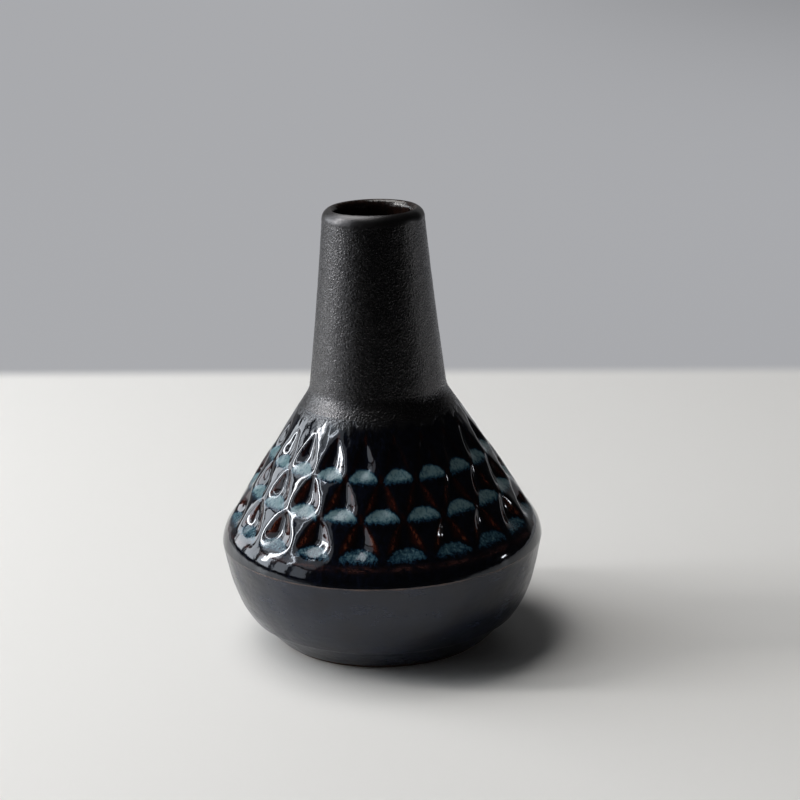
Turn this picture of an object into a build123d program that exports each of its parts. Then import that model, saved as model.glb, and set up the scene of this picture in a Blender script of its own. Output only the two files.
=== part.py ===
from build123d import *
import os
from math import atan2, cos, hypot, radians, sin

# A stoneware vase: a low bowl on a foot ring, a cone-shaped shoulder with three staggered rows
# of pressed arch niches, and a slender neck. The clay sections are luted together at stepped
# joints, and each glaze coat is a thin closed shell on the clay.
# The vase's axis is Z, and the foot ring rests on Z = 0. All sizes are in millimetres.

os.makedirs("parts", exist_ok=True)

# ---- coats ----
coat = 0.5  # thickness of every glaze on the walls, measured along the radius
base_coat = 0.3  # thickness of the glaze under the base

# ---- outline of the glazed outside, as (radius, height) ----
foot_contact = (36.0, 0.0)
foot_bevel = (38.0, 1.5)
foot_top = (44.9, 8.6)
bowl_edge = (46.1, 9.0)
bowl_turn = (50.3, 16.0)
bowl_side = (53.3, 25.5)
arris = (55.3, 35.4)
roll_side = (54.5, 38.85)
shoulder_foot = (52.9, 42.0)
shoulder_head = (26.4, 83.5)
shoulder_bulge = 0.45  # how far the shoulder's slope stands out from a straight line
fillet_foot = (24.6, 86.2)
fillet_middle = (23.66, 88.1)
neck_foot = (23.2, 90.2)
neck_middle = (20.0, 118.0)
neck_head = (17.3, 146.0)
lip_shoulder = (16.6, 148.7)
lip_crest = (14.9, 150.0)

# ---- outline of the clay inside, as (radius, height) ----
floor_height = 10.5
floor_edge = (34.0, floor_height)
bowl_inside = (46.4, 19.5)
belly_inside = (50.0, arris[1])
tongue_inside = (49.2, 38.4)
roll_inside = (48.2, 40.9)
shoulder_inside = (46.4, 43.0)
neck_root = (18.5, 86.0)
throat = (13.6, 147.5)
lip_inside = (13.9, 148.9)
clay_lip_shoulder = (16.1, 148.3)
clay_crest = (lip_crest[0], lip_crest[1] - coat)

# ---- joints between the clay sections ----
foot_hole_radius = 31.5
base_radius = 33.0  # recessed underside, at the foot ring's inner face
base_height = 4.5
base_glaze_radius = 32.8
seat_radius = 38.5  # step in which the bowl's base sits
clay_foot_top = (foot_top[0] - coat, 8.8)
tongue_radius = 51.2  # outside of the bowl's tongue, inside the shoulder's lap
collar_radius = 22.3  # outside of the shoulder's collar, inside the neck's lap

# ---- niches ----
niches_per_row = 20
row_rise = 11.3  # height from one row's sills to the next
first_sill_height = 43.6
niche_height = 12.0  # from sill to apex, along Z
niche_half_angle = 8.5  # of the niche's foot, as an angle around the vase's axis
row_depths = (2.3, 2.05, 1.65)  # at the valley's deepest point, from the lowest row up
valley_share = 0.35  # how far up the niche its deepest point lies
front_angle = -90.0  # the direction of the vase's front, from +X
row_phases = (9.9, 0.9, 9.9)  # where each row's first niche lies, from the front
mouth_rise = 1.2  # how far the cutting tool stands out of the surface
band_depth = 3.3  # depth of the ring from which the shoulder's coat is made


def inset(point, amount=coat):
    """The outline point moved towards the axis."""
    return (point[0] - amount, point[1])


def shoulder_radius(height):
    """Radius of the shoulder's glazed surface, which bulges a little from a cone."""
    share = (height - shoulder_foot[1]) / (shoulder_head[1] - shoulder_foot[1])
    straight = shoulder_foot[0] + share * (shoulder_head[0] - shoulder_foot[0])
    return straight + shoulder_bulge * (1 - (2 * share - 1) ** 2)


shoulder_waist_height = (shoulder_foot[1] + shoulder_head[1]) / 2
shoulder_waist = (shoulder_radius(shoulder_waist_height), shoulder_waist_height)
shoulder_lean = atan2(shoulder_foot[0] - shoulder_head[0], shoulder_head[1] - shoulder_foot[1])
coat_depth = coat * cos(shoulder_lean)  # the shoulder's coat, measured square to its slope


def draw_bowl(amount):
    """Bowl's side, from its lower edge up to the arris."""
    Spline(*[inset(point, amount) for point in (bowl_edge, bowl_turn, bowl_side, arris)])


def draw_shoulder(amount):
    """Shoulder's side: the roll over the arris, then the slope up to the neck."""
    ThreePointArc(*[inset(point, amount) for point in (arris, roll_side, shoulder_foot)])
    ThreePointArc(*[inset(point, amount) for point in (shoulder_foot, shoulder_waist, shoulder_head)])


def draw_neck(amount):
    """Neck's side, from the end of the shoulder up to the lip."""
    Line(inset(shoulder_head, amount), inset(fillet_foot, amount))
    ThreePointArc(*[inset(point, amount) for point in (fillet_foot, fillet_middle, neck_foot)])
    ThreePointArc(*[inset(point, amount) for point in (neck_foot, neck_middle, neck_head)])


def draw_inside(amount):
    """Inside of the vase, from the floor's edge up to the throat."""
    low_edge = (floor_edge[0] - amount, floor_height + amount)
    ThreePointArc(low_edge, inset(bowl_inside, amount), inset(belly_inside, amount))
    Line(inset(belly_inside, amount), inset(tongue_inside, amount))
    ThreePointArc(*[inset(point, amount) for point in (tongue_inside, roll_inside, shoulder_inside)])
    Line(inset(shoulder_inside, amount), inset(neck_root, amount))
    Line(inset(neck_root, amount), inset(throat, amount))


def niche_tool(row, sink):
    """One three-sided wedge, pressed `sink` deeper than the glazed surface, at azimuth 0."""
    sill_height = first_sill_height + row * row_rise
    apex_height = sill_height + niche_height
    sill_radius = shoulder_radius(sill_height)
    run_in = sill_radius - shoulder_radius(apex_height)
    length = hypot(run_in, niche_height)
    tilt = atan2(run_in, niche_height)
    depth = row_depths[row]
    # The wall curves away from the tool's flat mouth, so the mouth is wider than the niche.
    half_width = sill_radius * sin(radians(niche_half_angle))
    fall = half_width**2 * cos(tilt) / (2 * sill_radius)
    mouth_half_width = half_width * depth / (depth - fall)
    spread = (depth + mouth_rise) / depth
    valley = valley_share * length
    apex = (0, valley + (length - valley) * spread)
    right_foot = (mouth_half_width * spread, valley - valley * spread)
    left_foot = (-right_foot[0], right_foot[1])
    normal = (cos(tilt), 0, sin(tilt))
    surface = Plane(origin=(sill_radius, 0, sill_height), x_dir=(0, 1, 0), z_dir=normal)
    tip = surface.from_local_coords((0, valley, -depth - sink))
    with BuildPart() as tool:
        with BuildSketch(surface.offset(mouth_rise - sink)) as mouth:
            with BuildLine():
                Polyline(left_foot, right_foot, apex, close=True)
            make_face()
        loft(sections=[mouth.sketch.face(), Vertex(*tip)], ruled=True)
    return tool.part


def niche_tools(sink):
    """The tools of all rows, as one part."""
    with BuildPart() as tools:
        for row, phase in enumerate(row_phases):
            with PolarLocations(0, niches_per_row, start_angle=front_angle + phase):
                add(niche_tool(row, sink))
    return tools.part


# ---- foot ring: turned clay, bare on its bevel and contact edge ----
with BuildPart() as foot_ring_clay:
    with BuildSketch(Plane.XZ):
        with BuildLine():
            Polyline(
                (foot_hole_radius, 0),
                foot_contact,
                inset(foot_bevel),
                clay_foot_top,
                (seat_radius, clay_foot_top[1]),
                (seat_radius, base_height),
                (base_radius, base_height),
                close=True,
            )
        make_face()
    revolve(axis=Axis.Z)

# ---- lower bowl: floor and side, with a tongue that the shoulder laps over ----
with BuildPart() as lower_bowl_clay:
    with BuildSketch(Plane.XZ):
        with BuildLine():
            Polyline(
                (0, floor_height),
                (0, base_height),
                (seat_radius, base_height),
                (seat_radius, clay_foot_top[1]),
                clay_foot_top,
                inset(bowl_edge),
            )
            draw_bowl(coat)
            Polyline(
                inset(arris),
                (tongue_radius, arris[1]),
                (tongue_radius, tongue_inside[1]),
                tongue_inside,
                belly_inside,
            )
            ThreePointArc(belly_inside, bowl_inside, floor_edge)
            Line(floor_edge, (0, floor_height))
        make_face()
    revolve(axis=Axis.Z)

# ---- shoulder: laps over the bowl's tongue, and ends in a collar for the neck ----
with BuildPart() as shoulder_wall_clay:
    with BuildSketch(Plane.XZ):
        with BuildLine():
            Line((tongue_radius, arris[1]), inset(arris))
            draw_shoulder(coat)
            Polyline(
                inset(shoulder_head),
                (collar_radius, shoulder_head[1]),
                (collar_radius, neck_root[1]),
                neck_root,
                shoulder_inside,
            )
            ThreePointArc(shoulder_inside, roll_inside, tongue_inside)
            Polyline(tongue_inside, (tongue_radius, tongue_inside[1]), (tongue_radius, arris[1]))
        make_face()
    revolve(axis=Axis.Z)
    add(niche_tools(coat_depth), mode=Mode.SUBTRACT)

# ---- neck: laps over the shoulder's collar, and ends in the rounded lip ----
with BuildPart() as neck_clay:
    with BuildSketch(Plane.XZ):
        with BuildLine():
            Line((collar_radius, shoulder_head[1]), inset(shoulder_head))
            draw_neck(coat)
            ThreePointArc(inset(neck_head), clay_lip_shoulder, clay_crest)
            ThreePointArc(clay_crest, lip_inside, throat)
            Polyline(
                throat,
                neck_root,
                (collar_radius, neck_root[1]),
                (collar_radius, shoulder_head[1]),
            )
        make_face()
    revolve(axis=Axis.Z)

# ---- belly glaze: from the foot's bevel over the bowl's edge to the arris ----
with BuildPart() as belly_glaze:
    with BuildSketch(Plane.XZ):
        with BuildLine():
            Polyline(foot_bevel, foot_top, bowl_edge)
            draw_bowl(0)
            Line(arris, inset(arris))
            draw_bowl(coat)
            Polyline(inset(bowl_edge), clay_foot_top, inset(foot_bevel), foot_bevel)
        make_face()
    revolve(axis=Axis.Z)

# ---- shoulder glaze: a thicker ring, pressed with the niches, less the clay under it ----
with BuildPart() as shoulder_glaze:
    with BuildSketch(Plane.XZ):
        with BuildLine():
            draw_shoulder(0)
            Line(shoulder_head, inset(shoulder_head, band_depth))
            draw_shoulder(band_depth)
            Line(inset(arris, band_depth), arris)
        make_face()
    revolve(axis=Axis.Z)
    add(niche_tools(0), mode=Mode.SUBTRACT)
    add(shoulder_wall_clay.part, mode=Mode.SUBTRACT)

# ---- neck glaze: dry coat from the shoulder's end to the lip's crest ----
with BuildPart() as neck_glaze:
    with BuildSketch(Plane.XZ):
        with BuildLine():
            draw_neck(0)
            ThreePointArc(neck_head, lip_shoulder, lip_crest)
            Line(lip_crest, clay_crest)
            ThreePointArc(clay_crest, clay_lip_shoulder, inset(neck_head))
            draw_neck(coat)
            Line(inset(shoulder_head), shoulder_head)
        make_face()
    revolve(axis=Axis.Z)

# ---- liner glaze: the whole inside, from the lip's crest to the floor ----
with BuildPart() as liner_glaze:
    with BuildSketch(Plane.XZ):
        with BuildLine():
            Line((0, floor_height), floor_edge)
            draw_inside(0)
            ThreePointArc(throat, lip_inside, clay_crest)
            Line(clay_crest, lip_crest)
            ThreePointArc(lip_crest, inset(lip_inside), inset(throat))
            draw_inside(coat)
            Polyline(
                (floor_edge[0] - coat, floor_height + coat),
                (0, floor_height + coat),
                (0, floor_height),
            )
        make_face()
    revolve(axis=Axis.Z)

# ---- base glaze: thin coat on the recessed underside, inside the foot ring ----
with BuildPart() as base_glaze:
    with BuildSketch(Plane.XY.offset(base_height - base_coat)):
        Circle(base_glaze_radius)
    extrude(amount=base_coat)

pieces = {
    "foot_ring_clay": foot_ring_clay,
    "lower_bowl_clay": lower_bowl_clay,
    "shoulder_wall_clay": shoulder_wall_clay,
    "neck_clay": neck_clay,
    "belly_glaze": belly_glaze,
    "shoulder_glaze": shoulder_glaze,
    "neck_glaze": neck_glaze,
    "liner_glaze": liner_glaze,
    "base_glaze": base_glaze,
}
for node, piece in pieces.items():
    piece.part.label = node
    export_step(piece.part, f"parts/{node}.step")
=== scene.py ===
import math

import bpy
import numpy as np
from mathutils import Matrix, Vector

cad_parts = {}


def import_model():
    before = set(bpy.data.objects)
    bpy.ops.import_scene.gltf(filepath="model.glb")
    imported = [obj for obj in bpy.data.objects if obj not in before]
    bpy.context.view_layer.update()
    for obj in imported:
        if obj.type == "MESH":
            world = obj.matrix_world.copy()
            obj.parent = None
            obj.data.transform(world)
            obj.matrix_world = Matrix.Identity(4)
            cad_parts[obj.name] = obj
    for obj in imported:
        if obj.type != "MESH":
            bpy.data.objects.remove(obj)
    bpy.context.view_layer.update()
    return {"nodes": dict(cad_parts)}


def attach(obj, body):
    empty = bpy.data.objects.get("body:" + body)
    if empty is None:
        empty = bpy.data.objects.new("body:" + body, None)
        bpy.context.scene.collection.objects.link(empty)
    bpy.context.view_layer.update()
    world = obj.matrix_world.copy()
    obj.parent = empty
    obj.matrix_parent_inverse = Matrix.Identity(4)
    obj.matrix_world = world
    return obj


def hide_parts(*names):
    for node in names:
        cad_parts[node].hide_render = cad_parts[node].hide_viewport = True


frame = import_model()

MM = 0.001

# ---- outline of the glazed surface, as (radius, height) in millimetres ----
# It is the same as the CAD's, but for the point inside the lip.
FOOT_BEVEL = (38.0, 1.5)
FOOT_TOP = (44.9, 8.6)
BOWL_EDGE = (46.1, 9.0)
BOWL_TURN = (50.3, 16.0)
BOWL_SIDE = (53.3, 25.5)
ARRIS = (55.3, 35.4)
ROLL_SIDE = (54.5, 38.85)
SHOULDER_FOOT = (52.9, 42.0)
SHOULDER_HEAD = (26.4, 83.5)
SHOULDER_BULGE = 0.45
FILLET_FOOT = (24.6, 86.2)
FILLET_MIDDLE = (23.66, 88.1)
NECK_FOOT = (23.2, 90.2)
NECK_MIDDLE = (20.0, 118.0)
NECK_HEAD = (17.3, 146.0)
LIP_SHOULDER = (16.6, 148.7)
LIP_CREST = (14.9, 150.0)
LIP_INSIDE = (13.5, 149.1)  # the CAD's glaze passes through (13.4, 148.9)
THROAT = (13.1, 147.5)
COAT = 0.5  # thickness of a glaze coat, along the radius

# ---- niches: their places are the CAD's, and their depths and widths are the visible relief's own ----
NICHES_PER_ROW = 20
PITCH = 2 * math.pi / NICHES_PER_ROW
ROW_RISE = 11.3
FIRST_SILL_HEIGHT = 43.6
NICHE_HEIGHT = 12.0
FRONT_ANGLE = math.radians(-90.0)
ROW_PHASES = tuple(math.radians(a) for a in (9.9, 0.9, 9.9))
ROW_DEPTHS = (3.1, 2.8, 2.25)  # before the edges are rounded, from the lowest row up
NICHE_WIDTH = 0.92  # of a niche's sill, as a share of the pitch
VALLEY_WIDTH = 0.22  # share of a niche's width that is its rounded valley

# ---- clay inside and the joints, the same as the CAD's ----
FLOOR_EDGE = (34.0, 10.5)
BOWL_INSIDE = (46.4, 19.5)
BELLY_INSIDE = (50.0, 35.4)
TONGUE_INSIDE = (49.2, 38.4)
ROLL_INSIDE = (48.2, 40.9)
SHOULDER_INSIDE = (46.4, 43.0)
NECK_ROOT_CLAY = (18.5, 86.0)
THROAT_CLAY = (13.6, 147.5)
LIP_INSIDE_CLAY = (13.9, 148.9)
CLAY_LIP_SHOULDER = (16.1, 148.3)
CLAY_CREST = (14.9, 149.5)
CLAY_FOOT_TOP = (44.4, 8.8)
TONGUE_RADIUS = 51.2
COLLAR_RADIUS = 22.3

# ---- meshes: distances between points in millimetres, and points round the axis ----
SHOULDER_STEP = 0.50
SHOULDER_COLUMNS = 640
NECK_STEP = 0.31
NECK_COLUMNS = 400
BOWL_STEP = 0.40
BOWL_COLUMNS = 480
LINER_STEP = 0.6
LINER_COLUMNS = 240

# ---- looks ----
POOL_BY_ROW = (0.72, 1.0, 1.0)  # how much teal each row holds, from the lowest up
RUST_BY_ROW = (1.0, 0.85, 0.40)  # how much brown shows on each row's leaves
STRIP_SOFTNESS = 1.15  # how far the strips between niches are rounded over
STRIP_SHARE = 0.55  # how much of the relief is rounded that far
EDGE_SOFTNESS = 0.42  # how far the glaze rounds the niches' edges
GRAIN_HEIGHT = 0.020  # of the sandy grain on the neck
BAND_HEIGHT = 41.2  # where brown breaks through below the niches
CLAY_DARK = (0.060, 0.038, 0.026)
CLAY_LIGHT = (0.120, 0.080, 0.056)
BARE_DARK = (0.050, 0.026, 0.016)  # of the foot ring, which is redder
BARE_LIGHT = (0.105, 0.058, 0.034)

# ---- stage, in metres ----
GROUND_HALF = 3.2  # of the ground's side
TABLE_BACK = 0.34
EDGE_SLANT = 0.072  # of the table's back edge, which comes nearer on the right
TABLE_FRONT = 0.45
LIT_FRONT = 0.17  # nearer to the camera than this, the table doesn't light the vase
TABLE_SIDE = 0.9
TABLE_COLOUR = (0.80, 0.795, 0.785)
WALL = (0.362, 0.367, 0.385)  # brightness of the wall behind
ROOM = 0.012  # brightness of the dark room in front
AIM_HEIGHT = 0.06  # where every light points, on the axis
PANE = 0.335  # width of a window pane
PANE_HEIGHT = 0.56
PANE_DISTANCE = 1.6
FIRST_PANE = -60  # azimuth of the first column, in degrees
PANE_TURN = -16  # from each column to the next
PANE_RADIANCES = (1.2, 2.2, 5.0, 4.4, 4.2)  # by column, from the front to the left
PANE_TIERS = ((13, 1.0), (37, 0.55))  # elevation, and share of the column's radiance
DAYLIGHT = (0.93, 0.965, 1.0)

# ---- camera ----
LENS = 95.97  # focal length in millimetres
EYE = (0.00972, -0.70003, 0.28459)
EYE_PITCH = math.radians(16.066)  # downwards
EYE_YAW = math.radians(-0.194)
EYE_ROLL = math.radians(1.487)


# ---- curves in the (radius, height) plane ----
def line(start, end, count):
    share = np.linspace(0, 1, count)[:, None]
    return np.array(start) * (1 - share) + np.array(end) * share


def arc(start, middle, end, count):
    """Points on the circle through three points."""
    (ax, ay), (bx, by), (cx, cy) = start, middle, end
    d = 2 * (ax * (by - cy) + bx * (cy - ay) + cx * (ay - by))
    sa, sb, sc = ax**2 + ay**2, bx**2 + by**2, cx**2 + cy**2
    x = (sa * (by - cy) + sb * (cy - ay) + sc * (ay - by)) / d
    y = (sa * (cx - bx) + sb * (ax - cx) + sc * (bx - ax)) / d
    radius = math.hypot(ax - x, ay - y)
    angles = np.unwrap([math.atan2(p[1] - y, p[0] - x) for p in (start, middle, end)])
    turn = np.linspace(angles[0], angles[2], count)
    return np.stack([x + radius * np.cos(turn), y + radius * np.sin(turn)], 1)


def smooth_curve(points, count):
    """One cubic through four points, spaced by their distances."""
    points = np.array(points)
    steps = np.hypot(*np.diff(points, axis=0).T)
    knots = np.concatenate([[0], np.cumsum(steps)])
    where = np.linspace(0, knots[-1], count)
    return np.stack([np.polyval(np.polyfit(knots, points[:, i], 3), where) for i in (0, 1)], 1)


def chain(*curves):
    """Curves end to end, without the repeated points."""
    points = np.concatenate(curves)
    keep = np.concatenate([[True], np.hypot(*np.diff(points, axis=0).T) > 1e-6])
    return points[keep]


def even(points, step):
    """The same line, with its points about one step apart."""
    lengths = np.concatenate([[0], np.cumsum(np.hypot(*np.diff(points, axis=0).T))])
    where = np.linspace(0, lengths[-1], max(2, round(lengths[-1] / step) + 1))
    return np.stack([np.interp(where, lengths, points[:, i]) for i in (0, 1)], 1)


def inset(points, amount=COAT):
    """The same line, nearer the axis."""
    return np.array(points) - [amount, 0]


def shoulder_radius(height):
    share = (height - SHOULDER_FOOT[1]) / (SHOULDER_HEAD[1] - SHOULDER_FOOT[1])
    straight = SHOULDER_FOOT[0] + share * (SHOULDER_HEAD[0] - SHOULDER_FOOT[0])
    return straight + SHOULDER_BULGE * (1 - (2 * share - 1) ** 2)


# ---- meshes of revolution ----
def grid(section, columns, lift=None):
    """Points of a section of (radius, height) turned round the axis, one row per section point.

    lift is how far each point stands out along the surface's normal.
    """
    tangent = np.gradient(section, axis=0)
    tangent /= np.hypot(*tangent.T)[:, None]
    angles = np.arange(columns) * 2 * math.pi / columns
    radius = np.repeat(section[:, :1], columns, 1)
    height = np.repeat(section[:, 1:], columns, 1)
    if lift is not None:
        radius = radius + lift * tangent[:, 1:]
        height = height - lift * tangent[:, :1]
    return np.stack([radius * np.cos(angles), radius * np.sin(angles), height], -1)


def side_faces(first, rows, columns, outward=True):
    """Quads of a grid whose points start at index first and whose rows go up."""
    row = first + np.arange(rows - 1)[:, None] * columns
    column = np.arange(columns)[None]
    beside = (column + 1) % columns
    quads = np.stack([row + column, row + beside, row + columns + beside, row + columns + column], -1)
    quads = quads.reshape(-1, 4)
    return (quads if outward else quads[:, ::-1]).tolist()


def seam_faces(outer, inner, columns, upward=True):
    """Triangles between a ring of points and a ring inside it with half as many."""
    faces = []
    for k in range(columns // 2):
        a, b, c = outer + 2 * k, outer + 2 * k + 1, outer + (2 * k + 2) % columns
        d, e = inner + k, inner + (k + 1) % (columns // 2)
        faces += [[a, b, d], [b, e, d], [b, c, e]]
    return faces if upward else [face[::-1] for face in faces]


def crisp_edges(mesh):
    """Which edges are already marked as sharp."""
    marks = np.zeros(len(mesh.edges), bool)
    mesh.edges.foreach_get("use_edge_sharp", marks)
    return marks


def make_piece(name, vertices, faces, values=None, crisp=()):
    """A smooth mesh object from points in millimetres.

    crisp holds the (first, last) indices of rings of points along which the shading has an edge.
    """
    mesh = bpy.data.meshes.new(name)
    mesh.from_pydata((vertices * MM).tolist(), [], faces)
    mesh.polygons.foreach_set("use_smooth", np.ones(len(mesh.polygons), bool))
    for key, numbers in (values or {}).items():
        attribute = mesh.attributes.new(key, "FLOAT", "POINT")
        flat = np.zeros(len(vertices), np.float32)
        flat[: numbers.size] = numbers.reshape(-1)
        attribute.data.foreach_set("value", flat)
    mesh.update()
    ends = np.zeros(2 * len(mesh.edges), np.int32)
    mesh.edges.foreach_get("vertices", ends)
    for first, last in crisp:
        on_ring = ((ends >= first) & (ends <= last)).reshape(-1, 2).all(1)
        mesh.edges.foreach_set("use_edge_sharp", on_ring | crisp_edges(mesh))
    piece = bpy.data.objects.new(name, mesh)
    bpy.context.scene.collection.objects.link(piece)
    return piece


def shell(name, outside, inside, columns, lift=None, inside_lift=None, values=None):
    """A closed coat or wall: both sections run upwards, and the inside has half the columns.

    values holds named numbers for the outside's points, which the materials read.
    """
    outer = grid(outside, columns, lift)
    inner = grid(inside, columns // 2, inside_lift)
    count = len(outside) * columns
    faces = side_faces(0, len(outside), columns)
    faces += side_faces(count, len(inside), columns // 2, outward=False)
    faces += seam_faces(count - columns, count + (len(inside) - 1) * columns // 2, columns)
    faces += seam_faces(0, count, columns, upward=False)
    vertices = np.concatenate([outer.reshape(-1, 3), inner.reshape(-1, 3)])
    crisp = ((0, columns - 1), (count - columns, count - 1))
    return make_piece(name, vertices, faces, values, crisp)


def cup(name, section, columns):
    """A closed solid from a section that starts on the axis, goes outwards and ends on the axis."""
    rings = grid(section, columns)[1:-1]
    count = rings.shape[0] * columns
    vertices = np.concatenate([rings.reshape(-1, 3), [[0, 0, section[0, 1]], [0, 0, section[-1, 1]]]])
    faces = side_faces(0, len(rings), columns)
    for j in range(columns):
        beside = (j + 1) % columns
        faces += [[count, beside, j], [count - columns + j, count - columns + beside, count + 1]]
    return make_piece(name, vertices, faces)


def band_noise(rows, columns, row_step, column_step, size, seed):
    """Smooth random bumps of about one size, even round the axis, with a spread of 1."""
    rng = np.random.default_rng(seed)
    waves_r = np.fft.fftfreq(rows, row_step)[:, None]
    waves_c = np.fft.fftfreq(columns, column_step)[None]
    wave = np.hypot(waves_r, waves_c) * size
    keep = wave**2 * np.exp(-(wave**2))
    field = np.fft.ifft2(np.fft.fft2(rng.standard_normal((rows, columns))) * keep).real
    return field / field.std()


def blur(grid, row_step, column_step, size):
    """The grid smoothed over about `size`, repeating round the axis and held at its ends."""
    pad = int(4 * size / row_step) + 1
    tall = np.pad(grid, ((pad, pad), (0, 0)), mode="edge")
    waves_r = np.fft.fftfreq(tall.shape[0], row_step)[:, None]
    waves_c = np.fft.fftfreq(tall.shape[1], column_step)[None]
    keep = np.exp(-2 * (math.pi * size) ** 2 * (waves_r**2 + waves_c**2))
    return np.fft.ifft2(np.fft.fft2(tall) * keep).real[pad:-pad]


def ease(x, low, high):
    """0 below low, 1 above high, and smooth between."""
    t = np.clip((x - low) / (high - low), 0, 1)
    return t * t * (3 - 2 * t)


# ---- the relief ----
def niche_fields(height, angle):
    """How deep the niches are at each point, and where the glaze pools and where it runs thin.

    up runs from 0 at a niche's sill to 1 at its point, side from 0 at its middle to 1 half a pitch
    away, and share from 0 at its middle to 1 at its edge. The teal pool fills up to edge, the rust
    leaves lie on both sides above it, and a node of rust lies at the point.
    """
    depth = np.zeros(height.shape)
    pool = np.zeros(height.shape)
    thin = np.zeros(height.shape)
    for row in range(len(ROW_PHASES)):
        centre = FRONT_ANGLE + ROW_PHASES[row]
        across = (angle - centre + PITCH / 2) % PITCH - PITCH / 2
        side = np.abs(across) / (PITCH / 2)
        up = (height - FIRST_SILL_HEIGHT - row * ROW_RISE) / NICHE_HEIGHT
        inside = np.clip(up, 0, 1)
        half = NICHE_WIDTH * (1 - inside**2) ** 0.9 + 0.015
        share = side / half
        facet = np.clip((1 - share) / (1 - VALLEY_WIDTH), 0, 1)
        rise = ease(up, -0.12, 0.50) * (1 - inside) ** 0.6
        depth = np.maximum(depth, ROW_DEPTHS[row] * facet * rise * (up < 1))
        edge = 0.34 * (1 - np.clip(side / 0.90, 0, 1) ** 2.4)
        filled = ease(up, edge + 0.04, edge - 0.06) * ease(up, -0.20, 0.11) * ease(side, 0.96, 0.78)
        pool = np.maximum(pool, filled * (up < 0.6) * POOL_BY_ROW[row])
        lengthwise = ease(up, edge - 0.02, edge + 0.12) * ease(up, 0.98, 0.80)
        core = np.exp(-(((share - 0.72) / 0.19) ** 2))
        halo = 0.52 * np.exp(-(((share - 0.55) / 0.34) ** 2))
        leaf = np.maximum(core, halo) * lengthwise * RUST_BY_ROW[row]
        node = 0.55 * np.exp(-((side / 0.15) ** 2)) * ease(up, 0.78, 0.92) * ease(up, 1.22, 1.04)
        thin = np.maximum(thin, np.maximum(leaf, node))
    return depth, pool, thin


# ---- small helpers for node materials ----
class Surface:
    """A node material with one Principled shader, and short calls that add nodes to it."""

    def __init__(self, name, **settings):
        self.material = bpy.data.materials.new(name)
        self.material.use_nodes = True
        self.tree = self.material.node_tree
        self.shader = self.tree.nodes["Principled BSDF"]
        for key, value in settings.items():
            self.shader.inputs[key.replace("_", " ")].default_value = value
        self.place = self.node("ShaderNodeTexCoord").outputs["Object"]

    def node(self, kind, **settings):
        made = self.tree.nodes.new(kind)
        for key, value in settings.items():
            setattr(made, key, value)
        return made

    def feed(self, socket, value):
        if isinstance(value, bpy.types.NodeSocket):
            self.tree.links.new(value, socket)
        elif value is not None:
            socket.default_value = value

    def stretched(self, x, y, z):
        made = self.node("ShaderNodeMapping")
        self.feed(made.inputs["Vector"], self.place)
        made.inputs["Scale"].default_value = (x, y, z)
        return made.outputs["Vector"]

    def noise(self, per_metre, detail=2.0, roughness=0.5, vector=None):
        made = self.node("ShaderNodeTexNoise")
        self.feed(made.inputs["Vector"], vector or self.place)
        made.inputs["Scale"].default_value = per_metre
        made.inputs["Detail"].default_value = detail
        made.inputs["Roughness"].default_value = roughness
        return made.outputs["Fac"]

    def cells(self, per_metre):
        made = self.node("ShaderNodeTexVoronoi")
        self.feed(made.inputs["Vector"], self.place)
        made.inputs["Scale"].default_value = per_metre
        return made.outputs["Distance"]

    def value(self, name):
        """A number that the mesh holds at each of its points."""
        return self.node("ShaderNodeAttribute", attribute_name=name).outputs["Fac"]

    def math(self, operation, a, b=None):
        made = self.node("ShaderNodeMath", operation=operation)
        self.feed(made.inputs[0], a)
        self.feed(made.inputs[1], b)
        return made.outputs[0]

    def fade(self, value, low, high, start=0.0, end=1.0):
        made = self.node("ShaderNodeMapRange", interpolation_type="SMOOTHSTEP")
        self.feed(made.inputs["Value"], value)
        for key, number in zip(("From Min", "From Max", "To Min", "To Max"), (low, high, start, end)):
            made.inputs[key].default_value = number
        return made.outputs["Result"]

    def ramp(self, value, *stops):
        made = self.node("ShaderNodeValToRGB")
        self.feed(made.inputs["Fac"], value)
        points = made.color_ramp.elements
        while len(points) < len(stops):
            points.new(0.5)
        for point, (where, colour) in zip(points, stops):
            point.position = where
            point.color = (*colour, 1)
        return made.outputs["Color"]

    def mix(self, share, a, b):
        made = self.node("ShaderNodeMix", data_type="RGBA")
        self.feed(made.inputs["Factor"], share)
        for socket, colour in ((made.inputs[6], a), (made.inputs[7], b)):
            self.feed(socket, (*colour, 1) if isinstance(colour, tuple) else colour)
        return made.outputs[2]

    def bump(self, height, distance, strength=1.0, under=None):
        made = self.node("ShaderNodeBump")
        made.inputs["Distance"].default_value = distance
        made.inputs["Strength"].default_value = strength
        self.feed(made.inputs["Height"], height)
        self.feed(made.inputs["Normal"], under)
        return made.outputs["Normal"]

    def finish(self, colour=None, roughness=None, normal=None):
        self.feed(self.shader.inputs["Base Color"], colour)
        self.feed(self.shader.inputs["Roughness"], roughness)
        self.feed(self.shader.inputs["Normal"], normal)
        return self.material


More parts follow.
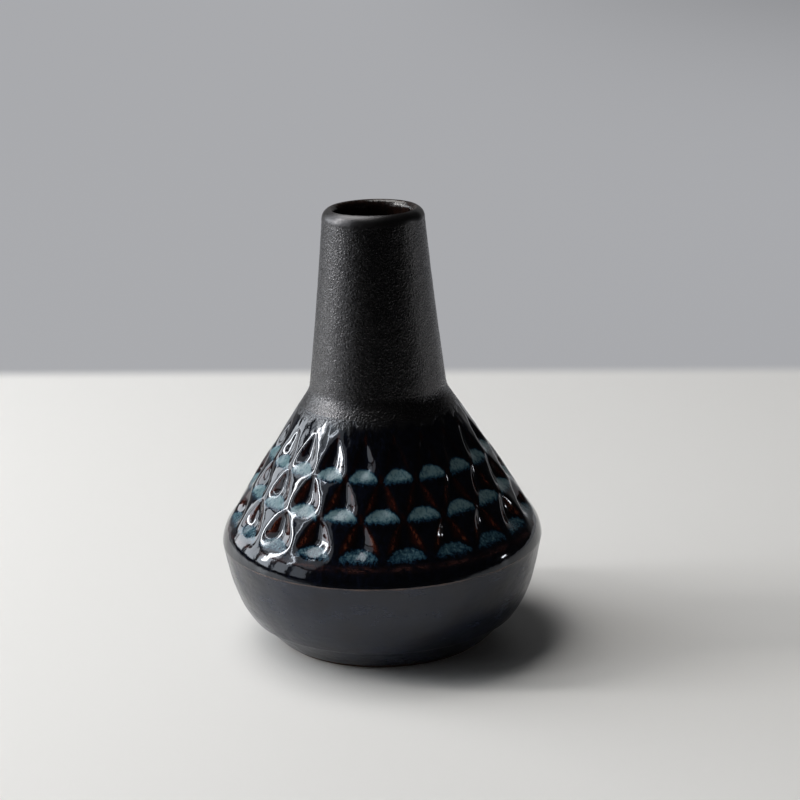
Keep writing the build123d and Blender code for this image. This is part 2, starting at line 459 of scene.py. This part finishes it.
def gloss_glaze_material():
    """Blue-black where it is even, teal where it pools, rust brown where it is thin."""
    s = Surface("gloss_glaze", IOR=1.57, Specular_Tint=(0.87, 0.92, 1.0, 1.0))
    streaks = s.noise(900, 3, 0.6, s.stretched(1, 1, 0.22))
    mottle = s.noise(700, 4, 0.7, s.stretched(1, 1, 0.5))
    specks = s.noise(2600, 2, 0.6, s.stretched(1, 1, 0.5))
    ground = s.ramp(streaks, (0.40, (0.0016, 0.0015, 0.0022)), (0.62, (0.0030, 0.0040, 0.0085)),
                    (0.85, (0.0075, 0.0105, 0.021)))
    rust = s.ramp(s.math("MULTIPLY", s.value("thin"), s.fade(mottle, 0.3, 0.7, 0.50, 1.25)),
                  (0.10, (0.0026, 0.0018, 0.0022)), (0.40, (0.010, 0.0030, 0.0024)),
                  (0.72, (0.028, 0.0062, 0.0042)), (1.0, (0.090, 0.026, 0.012)))
    glaze = s.mix(s.fade(s.value("thin"), 0.10, 0.45), ground, rust)
    pool = s.math("ADD", s.value("pool"), s.fade(specks, 0.3, 0.7, -0.14, 0.14))
    pool = s.math("ADD", pool, s.fade(streaks, 0.3, 0.7, -0.16, 0.16))
    teal = s.ramp(pool, (0.30, (0.002, 0.006, 0.017)), (0.55, (0.007, 0.026, 0.048)),
                  (0.78, (0.033, 0.082, 0.108)), (1.0, (0.115, 0.190, 0.210)))
    glaze = s.mix(s.fade(pool, 0.28, 0.55), glaze, teal)
    smear = s.noise(300, 3, 0.6, s.stretched(1, 1, 3))
    band = s.math("MULTIPLY", s.value("band"), s.fade(smear, 0.36, 0.60))
    glaze = s.mix(band, glaze, (0.048, 0.020, 0.017))
    dry = s.value("dry")
    glaze = s.mix(dry, glaze, (0.007, 0.0065, 0.007))
    roughness = s.math("ADD", s.fade(dry, 0.0, 0.7, 0.075, 0.25), s.fade(pool, 0.4, 0.9, 0.0, 0.16))
    ripple = s.bump(s.noise(330, 2, 0.5), 0.00010, 0.5)
    sand = s.math("MULTIPLY", s.noise(1550, 1, 0.5), s.fade(dry, 0.5, 1.0))
    normal = s.bump(sand, 0.00021, 1.0, ripple)
    return s.finish(glaze, roughness, normal)


def satin_glaze_material():
    """Black with a metallic blue-grey sheen, brown where it ends at the arris."""
    s = Surface("satin_glaze", IOR=1.53, Specular_Tint=(0.90, 0.92, 1.0, 1.0))
    cloud = s.noise(75, 5, 0.65, s.stretched(1, 1, 1.8))
    fine = s.noise(1400, 3, 0.6)
    turned = s.noise(60, 3, 0.6, s.stretched(1, 1, 14))
    colour = s.ramp(cloud, (0.30, (0.0090, 0.0078, 0.0085)), (0.50, (0.0080, 0.0105, 0.0190)),
                    (0.75, (0.0100, 0.0160, 0.0330)))
    rim = s.math("MULTIPLY", s.value("rim"), s.fade(s.noise(240, 3, 0.6), 0.30, 0.60, 0.35, 1.0))
    colour = s.mix(rim, colour, (0.105, 0.068, 0.052))
    uneven = s.math("ADD", cloud, s.math("MULTIPLY", fine, 0.3))
    uneven = s.math("ADD", uneven, s.math("MULTIPLY", turned, 0.5))
    roughness = s.fade(uneven, 0.6, 1.2, 0.13, 0.30)
    dimples = s.fade(s.cells(330), 0.03, 0.13)
    normal = s.bump(dimples, 0.00015, 0.25, s.bump(fine, 0.00005, 0.6, s.bump(turned, 0.00006, 0.5)))
    return s.finish(colour, roughness, normal)


def dry_glaze_material():
    """Matt black with a fine sandy grain, smoother and glossier over the lip."""
    s = Surface("dry_glaze", IOR=1.66, Specular_Tint=(0.97, 0.955, 1.0, 1.0))
    lip = s.value("lip")
    sand = s.noise(1550, 1, 0.5)
    blotch = s.noise(160, 3, 0.6)
    colour = s.ramp(blotch, (0.30, (0.0020, 0.0018, 0.0020)), (0.70, (0.0040, 0.0036, 0.0037)))
    colour = s.mix(s.fade(sand, 0.56, 0.75, 0.0, 0.5), colour, (0.014, 0.012, 0.012))
    roughness = s.math("SUBTRACT", s.fade(sand, 0.3, 0.7, 0.32, 0.24), s.math("MULTIPLY", lip, -0.06))
    grain = s.math("MULTIPLY", sand, s.fade(lip, 0.0, 1.0, 1.0, 0.25))
    return s.finish(colour, roughness, s.bump(grain, 0.00021, 1.0))


def liner_glaze_material():
    """Glossy brown-black with streaks that run down."""
    s = Surface("liner_glaze", IOR=1.52)
    streaks = s.noise(500, 3, 0.6, s.stretched(1, 1, 0.2))
    colour = s.ramp(streaks, (0.35, (0.004, 0.003, 0.003)), (0.65, (0.020, 0.009, 0.006)),
                    (0.85, (0.060, 0.026, 0.014)))
    roughness = s.fade(s.noise(700, 2), 0.3, 0.7, 0.14, 0.24)
    return s.finish(colour, roughness, s.bump(s.noise(520, 3), 0.0004, 0.8))


def base_glaze_material():
    """A thin, dull brown-black wash."""
    s = Surface("base_glaze", IOR=1.55)
    colour = s.ramp(s.noise(140, 4, 0.6), (0.3, (0.008, 0.007, 0.007)), (0.7, (0.024, 0.017, 0.014)))
    roughness = s.fade(s.noise(900, 3), 0.3, 0.7, 0.26, 0.42)
    return s.finish(colour, roughness, s.bump(s.noise(1200, 3), 0.0002, 0.5))


def clay_material(name, dark, light):
    """Fired stoneware: fine grain with darker specks."""
    s = Surface(name)
    body = s.ramp(s.noise(700, 4, 0.65), (0.3, dark), (0.7, light))
    specks = s.fade(s.cells(520), 0.10, 0.22, 0.7, 0.0)
    colour = s.mix(specks, body, (0.012, 0.009, 0.008))
    roughness = s.fade(s.noise(1100, 3), 0.3, 0.7, 0.72, 0.92)
    return s.finish(colour, roughness, s.bump(s.noise(1600, 3, 0.65), 0.0003, 0.7))


def dress(piece, material):
    """Give a piece, or a CAD node, one material."""
    piece.data.materials.clear()
    piece.data.materials.append(material)


# ---- the glazed pieces ----
def rounded(points, size):
    """The same line with its corners rounded over about `size`; its ends stay where they are."""
    fine = even(points, size / 6)
    reach = 18
    weights = np.exp(-0.5 * (np.arange(-reach, reach + 1) / 6) ** 2)
    weights /= weights.sum()
    before = 2 * fine[0] - fine[reach:0:-1]
    after = 2 * fine[-1] - fine[-2 : -reach - 2 : -1]
    long = np.concatenate([before, fine, after])
    return np.stack([np.convolve(long[:, i], weights, "valid") for i in (0, 1)], 1)


def shoulder_line():
    heights = np.linspace(SHOULDER_FOOT[1], SHOULDER_HEAD[1], 200)
    slope = np.stack([shoulder_radius(heights), heights], 1)
    return chain(arc(ARRIS, ROLL_SIDE, SHOULDER_FOOT, 40), slope)


def neck_line():
    fillet = arc(FILLET_FOOT, FILLET_MIDDLE, NECK_FOOT, 20)
    neck = arc(NECK_FOOT, NECK_MIDDLE, NECK_HEAD, 200)
    return chain(line(SHOULDER_HEAD, FILLET_FOOT, 4), fillet, neck)


def bowl_line():
    return smooth_curve([BOWL_EDGE, BOWL_TURN, BOWL_SIDE, ARRIS], 80)


def steps(section, columns):
    """Mean distances between a section's points, and between neighbours round the axis."""
    return np.hypot(*np.diff(section, axis=0).T).mean(), 2 * math.pi * section[:, 0].mean() / columns


def place(piece, node, material):
    """Make a piece stand for a CAD node."""
    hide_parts(node)
    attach(piece, "root")
    dress(piece, material)


def niches_on(section, columns):
    angle = np.arange(columns)[None] * 2 * math.pi / columns
    return niche_fields(np.repeat(section[:, 1:], columns, 1), angle)


def pressed(depth, step):
    """The niches' depth with rounded edges, and with the strips between niches rounded over too."""
    crisp = blur(depth, *step, EDGE_SOFTNESS)
    broad = blur(depth, *step, STRIP_SOFTNESS)
    return (1 - STRIP_SHARE) * crisp + STRIP_SHARE * broad


def shoulder_coat():
    """The shoulder's glaze, pressed with the niches."""
    section = even(shoulder_line(), SHOULDER_STEP)
    columns = SHOULDER_COLUMNS
    step = steps(section, columns)
    depth, pool, thin = niches_on(section, columns)
    soft = pressed(depth, step)
    ridge = np.clip(blur(depth, *step, 0.9) - soft, 0, None)
    height = np.repeat(section[:, 1:], columns, 1)
    middle = ease(height, ARRIS[1], ARRIS[1] + 2.0)
    middle = middle * ease(height, SHOULDER_HEAD[1], SHOULDER_HEAD[1] - 1.5)
    uneven = band_noise(len(section), columns, *step, 7.0, 11)
    feather = 0.6 * band_noise(len(section), columns, *step, 9.0, 12)
    feather += 0.28 * band_noise(len(section), columns, 0.25 * step[0], step[1], 2.2, 13)
    angle = np.arange(columns)[None] * 2 * math.pi / columns
    turn = NICHES_PER_ROW * (angle - FRONT_ANGLE - ROW_PHASES[0])
    under_niche = 0.25 + 0.75 * (0.5 + 0.5 * np.cos(turn)) ** 0.7
    values = {
        "pool": blur(pool, *step, 0.30),
        "thin": np.clip(blur(thin, *step, 0.25) + 1.6 * ridge, 0, 1.2),
        "band": np.exp(-(((height - BAND_HEIGHT) / 0.75) ** 2)) * under_niche,
        "dry": ease(height + feather, SHOULDER_HEAD[1] - 3.6, SHOULDER_HEAD[1] - 0.8),
    }
    inner = even(shoulder_line(), 1.5 * SHOULDER_STEP)
    inner_depth = niches_on(inner, columns // 2)[0]
    inner_lift = -pressed(inner_depth, steps(inner, columns // 2))
    lift = 0.022 * uneven * middle * ease(height, ARRIS[1] + 2.0, FIRST_SILL_HEIGHT) - soft
    coat = shell("shoulder_glaze_coat", section, inset(inner), columns, lift, inner_lift, values)
    place(coat, "shoulder_glaze", gloss_glaze_material())


def shoulder_wall():
    """The clay under the shoulder's glaze, pressed with the same niches."""
    section = even(shoulder_line(), 1.5 * SHOULDER_STEP)
    columns = SHOULDER_COLUMNS // 2
    depth = niches_on(section, columns)[0]
    lift = -pressed(depth, steps(section, columns))
    tongue = [inset(ARRIS), (TONGUE_RADIUS, ARRIS[1]), (TONGUE_RADIUS, TONGUE_INSIDE[1])]
    inside = chain(line(tongue[0], tongue[1], 3)[1:], line(tongue[1], tongue[2], 4),
                   line(tongue[2], TONGUE_INSIDE, 3),
                   arc(TONGUE_INSIDE, ROLL_INSIDE, SHOULDER_INSIDE, 6),
                   line(SHOULDER_INSIDE, NECK_ROOT_CLAY, 12),
                   line(NECK_ROOT_CLAY, (COLLAR_RADIUS, NECK_ROOT_CLAY[1]), 3),
                   line((COLLAR_RADIUS, NECK_ROOT_CLAY[1]), (COLLAR_RADIUS, SHOULDER_HEAD[1]), 3))
    wall = shell("shoulder_wall", inset(section), inside, columns, lift)
    clay = clay_material("body_clay_wall", CLAY_DARK, CLAY_LIGHT)
    place(wall, "shoulder_wall_clay", clay)


def neck_coat():
    """The neck's dry glaze, with its sandy grain, up to the lip's crest."""
    profile = chain(neck_line(), arc(NECK_HEAD, LIP_SHOULDER, LIP_CREST, 24))
    section = even(profile, NECK_STEP)
    columns = NECK_COLUMNS
    step = steps(section, columns)
    height = np.repeat(section[:, 1:], columns, 1)
    lip = ease(height, NECK_HEAD[1] - 1.0, NECK_HEAD[1] + 1.8)
    ends = ease(height, SHOULDER_HEAD[1], SHOULDER_HEAD[1] + 1.0)
    ends = ends * ease(height, LIP_CREST[1], LIP_CREST[1] - 0.8)
    grain = band_noise(len(section), columns, *step, 0.78, 21)
    coarse = band_noise(len(section), columns, *step, 7.0, 22)
    lift = ends * (GRAIN_HEIGHT * grain * (1 - 0.85 * lip) + 0.015 * coarse)
    lift = np.minimum(lift, 0.12) - 0.02 * ends
    inner_top = arc(inset(NECK_HEAD), CLAY_LIP_SHOULDER, CLAY_CREST, 8)
    inner = chain(inset(even(neck_line(), 2.0)), inner_top)
    coat = shell("neck_glaze_coat", section, inner, columns, lift, values={"lip": lip})
    place(coat, "neck_glaze", dry_glaze_material())


def belly_coat():
    """The bowl's satin glaze, from the foot's bevel to the arris."""
    foot = chain(line(FOOT_BEVEL, FOOT_TOP, 20), line(FOOT_TOP, BOWL_EDGE, 6))
    section = even(rounded(chain(foot, bowl_line()), 0.35), BOWL_STEP)
    columns = BOWL_COLUMNS
    step = steps(section, columns)
    height = np.repeat(section[:, 1:], columns, 1)
    ends = ease(height, FOOT_BEVEL[1], FOOT_BEVEL[1] + 1.5) * ease(height, ARRIS[1], ARRIS[1] - 1.5)
    lift = ends * (0.035 * band_noise(len(section), columns, *step, 14.0, 31)
                   + 0.012 * band_noise(len(section), columns, *step, 3.0, 32))
    lift = np.minimum(lift, 0.08)
    waver = 0.12 * band_noise(len(section), columns, *step, 9.0, 33)
    rim = ease(height + waver, ARRIS[1] - 0.8, ARRIS[1] - 0.1)
    inner = chain(line(inset(FOOT_BEVEL), CLAY_FOOT_TOP, 6), line(CLAY_FOOT_TOP, inset(BOWL_EDGE), 3),
                  inset(even(bowl_line(), 1.5)))
    coat = shell("belly_glaze_coat", section, inner, columns, lift, values={"rim": rim})
    place(coat, "belly_glaze", satin_glaze_material())


def liner_coat():
    """The glaze all over the inside, from the lip's crest to the floor."""
    floor_edge = (FLOOR_EDGE[0] - COAT, FLOOR_EDGE[1] + COAT)
    bowl = arc(floor_edge, inset(BOWL_INSIDE), inset(BELLY_INSIDE), 30)
    roll = arc(inset(TONGUE_INSIDE), inset(ROLL_INSIDE), inset(SHOULDER_INSIDE), 8)
    glazed = chain(line((0, FLOOR_EDGE[1] + COAT), bowl[0], 16), bowl, line(bowl[-1], roll[0], 3), roll,
                   line(roll[-1], inset(NECK_ROOT_CLAY), 24), line(inset(NECK_ROOT_CLAY), THROAT, 60))
    glazed = chain(rounded(glazed, 1.0), arc(THROAT, LIP_INSIDE, LIP_CREST, 16))
    clay_bowl = arc(FLOOR_EDGE, BOWL_INSIDE, BELLY_INSIDE, 16)
    clay_roll = arc(TONGUE_INSIDE, ROLL_INSIDE, SHOULDER_INSIDE, 6)
    clay = chain(line((0, FLOOR_EDGE[1]), FLOOR_EDGE, 8), clay_bowl, line(clay_bowl[-1], clay_roll[0], 3),
                 clay_roll, line(clay_roll[-1], NECK_ROOT_CLAY, 12), line(NECK_ROOT_CLAY, THROAT_CLAY, 16),
                 arc(THROAT_CLAY, LIP_INSIDE_CLAY, CLAY_CREST, 8))
    section = chain(clay, line(CLAY_CREST, LIP_CREST, 3), even(glazed, LINER_STEP)[::-1])
    coat = cup("liner_glaze_coat", section, LINER_COLUMNS)
    place(coat, "liner_glaze", liner_glaze_material())


shoulder_coat()
shoulder_wall()
neck_coat()
belly_coat()
liner_coat()

# ---- CAD nodes whose shape is right get their materials ----
nodes = frame["nodes"]
dress(nodes["foot_ring_clay"], clay_material("bare_clay", BARE_DARK, BARE_LIGHT))
for node in ("lower_bowl_clay", "neck_clay"):
    dress(nodes[node], clay_material(f"body_clay_{node}", CLAY_DARK, CLAY_LIGHT))
dress(nodes["base_glaze"], base_glaze_material())


# ---- table, lights and camera ----
def table():
    """A pale table top round the vase, on a grey ground that stands for the wall too.

    The camera sees the whole table. The vase is lit and mirrored by a shorter one.
    """
    half = GROUND_HALF
    mesh = bpy.data.meshes.new("table")
    corners = [(-half, -half, 0), (half, -half, 0), (half, half, 0), (-half, half, 0)]
    mesh.from_pydata(corners, [], [(0, 1, 2, 3)])
    top = bpy.data.objects.new("table", mesh)
    bpy.context.scene.collection.objects.link(top)
    s = Surface("table_top", Specular_IOR_Level=0.3, Roughness=0.45)
    apart = s.node("ShaderNodeSeparateXYZ")
    s.feed(apart.inputs["Vector"], s.place)
    x, y = apart.outputs["X"], apart.outputs["Y"]
    slanted = s.math("ADD", y, s.math("MULTIPLY", x, EDGE_SLANT))
    back = s.fade(slanted, TABLE_BACK - 0.012, TABLE_BACK + 0.012, 1.0, 0.0)
    seen = s.node("ShaderNodeLightPath").outputs["Is Camera Ray"]
    seen_front = s.math("MULTIPLY", seen, s.fade(y, -TABLE_FRONT - 0.1, -TABLE_FRONT))
    front = s.math("MAXIMUM", seen_front, s.fade(y, -LIT_FRONT - 0.08, -LIT_FRONT))
    sides = s.fade(s.math("ABSOLUTE", x), TABLE_SIDE, TABLE_SIDE + 0.1, 1.0, 0.0)
    on_table = s.math("MULTIPLY", s.math("MULTIPLY", back, front), sides)
    # Off the table the ground glows as painted light: grey like the wall where the camera sees it and
    # behind, dim in front. Painted shade darkens this glow towards the far right, standing in for the
    # light's falloff.
    far_right_shade = s.math("MULTIPLY", s.fade(x, -0.1, 0.7), s.fade(y, 0.6, 2.4))
    wall = s.mix(far_right_shade, WALL, tuple(0.68 * part for part in WALL))
    behind = s.fade(y, -0.2, 0.3, 0.03, 1.0)
    glow = s.math("MULTIPLY", s.math("SUBTRACT", 1.0, on_table), s.math("MAXIMUM", seen, behind))
    s.feed(s.shader.inputs["Emission Color"], wall)
    s.feed(s.shader.inputs["Emission Strength"], glow)
    dress(top, s.finish(s.mix(on_table, (0.01, 0.01, 0.01), TABLE_COLOUR)))


def area_light(name, azimuth, elevation, distance, width, height, power, colour=(1, 1, 1)):
    """A soft rectangular light; azimuth runs from the front towards the right, in degrees."""
    lamp = bpy.data.lights.new(name, "AREA")
    lamp.shape = "RECTANGLE"
    lamp.size, lamp.size_y = width, height
    lamp.energy = power
    lamp.color = colour
    light = bpy.data.objects.new(name, lamp)
    a, e = math.radians(azimuth), math.radians(elevation)
    away = Vector((math.sin(a) * math.cos(e), -math.cos(a) * math.cos(e), math.sin(e)))
    light.location = Vector((0, 0, AIM_HEIGHT)) + away * distance
    light.rotation_euler = away.to_track_quat("Z", "Y").to_euler()
    light.visible_camera = False
    bpy.context.scene.collection.objects.link(light)


def world():
    """Grey where the camera sees it, and a dim room for the reflections."""
    made = bpy.data.worlds.new("room")
    bpy.context.scene.world = made
    made.use_nodes = True
    tree = made.node_tree
    seen = tree.nodes["Background"]
    seen.inputs["Color"].default_value = (*WALL, 1)
    room = tree.nodes.new("ShaderNodeBackground")
    facing = tree.nodes.new("ShaderNodeTexCoord")
    apart = tree.nodes.new("ShaderNodeSeparateXYZ")
    tree.links.new(facing.outputs["Generated"], apart.inputs[0])
    towards_wall = tree.nodes.new("ShaderNodeMapRange")
    towards_wall.interpolation_type = "SMOOTHSTEP"
    tree.links.new(apart.outputs["Y"], towards_wall.inputs["Value"])
    limits = (0.62, 0.88, ROOM, 0.7 * WALL[0])
    for key, number in zip(("From Min", "From Max", "To Min", "To Max"), limits):
        towards_wall.inputs[key].default_value = number
    tree.links.new(towards_wall.outputs[0], room.inputs["Strength"])
    path = tree.nodes.new("ShaderNodeLightPath")
    either = tree.nodes.new("ShaderNodeMixShader")
    tree.links.new(path.outputs["Is Camera Ray"], either.inputs[0])
    tree.links.new(room.outputs[0], either.inputs[1])
    tree.links.new(seen.outputs[0], either.inputs[2])
    tree.links.new(either.outputs[0], tree.nodes["World Output"].inputs["Surface"])


def camera():
    """A camera in front of the vase, above it and looking down, with a slight roll."""
    lens = bpy.data.cameras.new("camera")
    lens.lens = LENS
    lens.sensor_width = 36
    lens.clip_start, lens.clip_end = 0.01, 20
    eye = bpy.data.objects.new("camera", lens)
    level = math.cos(EYE_PITCH)
    forward = Vector((level * math.sin(EYE_YAW), level * math.cos(EYE_YAW), -math.sin(EYE_PITCH)))
    right = Vector((math.cos(EYE_YAW), -math.sin(EYE_YAW), 0))
    up = right.cross(forward)
    turned_right = right * math.cos(EYE_ROLL) - up * math.sin(EYE_ROLL)
    turned_up = right * math.sin(EYE_ROLL) + up * math.cos(EYE_ROLL)
    eye.matrix_world = Matrix((turned_right, turned_up, -forward)).transposed().to_4x4()
    eye.location = EYE
    bpy.context.scene.collection.objects.link(eye)
    bpy.context.scene.camera = eye


table()
world()
camera()

# ---- the window's panes and strips, one glint at the right and soft light overhead ----
for column, radiance in enumerate(PANE_RADIANCES):
    azimuth = FIRST_PANE + PANE_TURN * column
    for tier, (elevation, share) in enumerate(PANE_TIERS):
        watts = math.pi * PANE * PANE_HEIGHT * radiance * share
        area_light(f"pane_{column}_{tier}", azimuth, elevation, PANE_DISTANCE, PANE, PANE_HEIGHT,
                   watts, DAYLIGHT)
area_light("sunlit_strip", -92, 28, 1.08, 0.075, 0.66, 4.5, (1.0, 0.98, 0.95))
area_light("side_strip", -74, 36, 1.3, 0.035, 0.60, 0.9, (0.95, 0.98, 1.0))
area_light("right_glint", 93, 5, 1.3, 0.10, 0.05, 0.30)
area_light("ceiling", -120, 66, 1.6, 1.1, 1.1, 17.0, (1.0, 0.985, 0.96))

bpy.context.scene.view_settings.view_transform = "Standard"
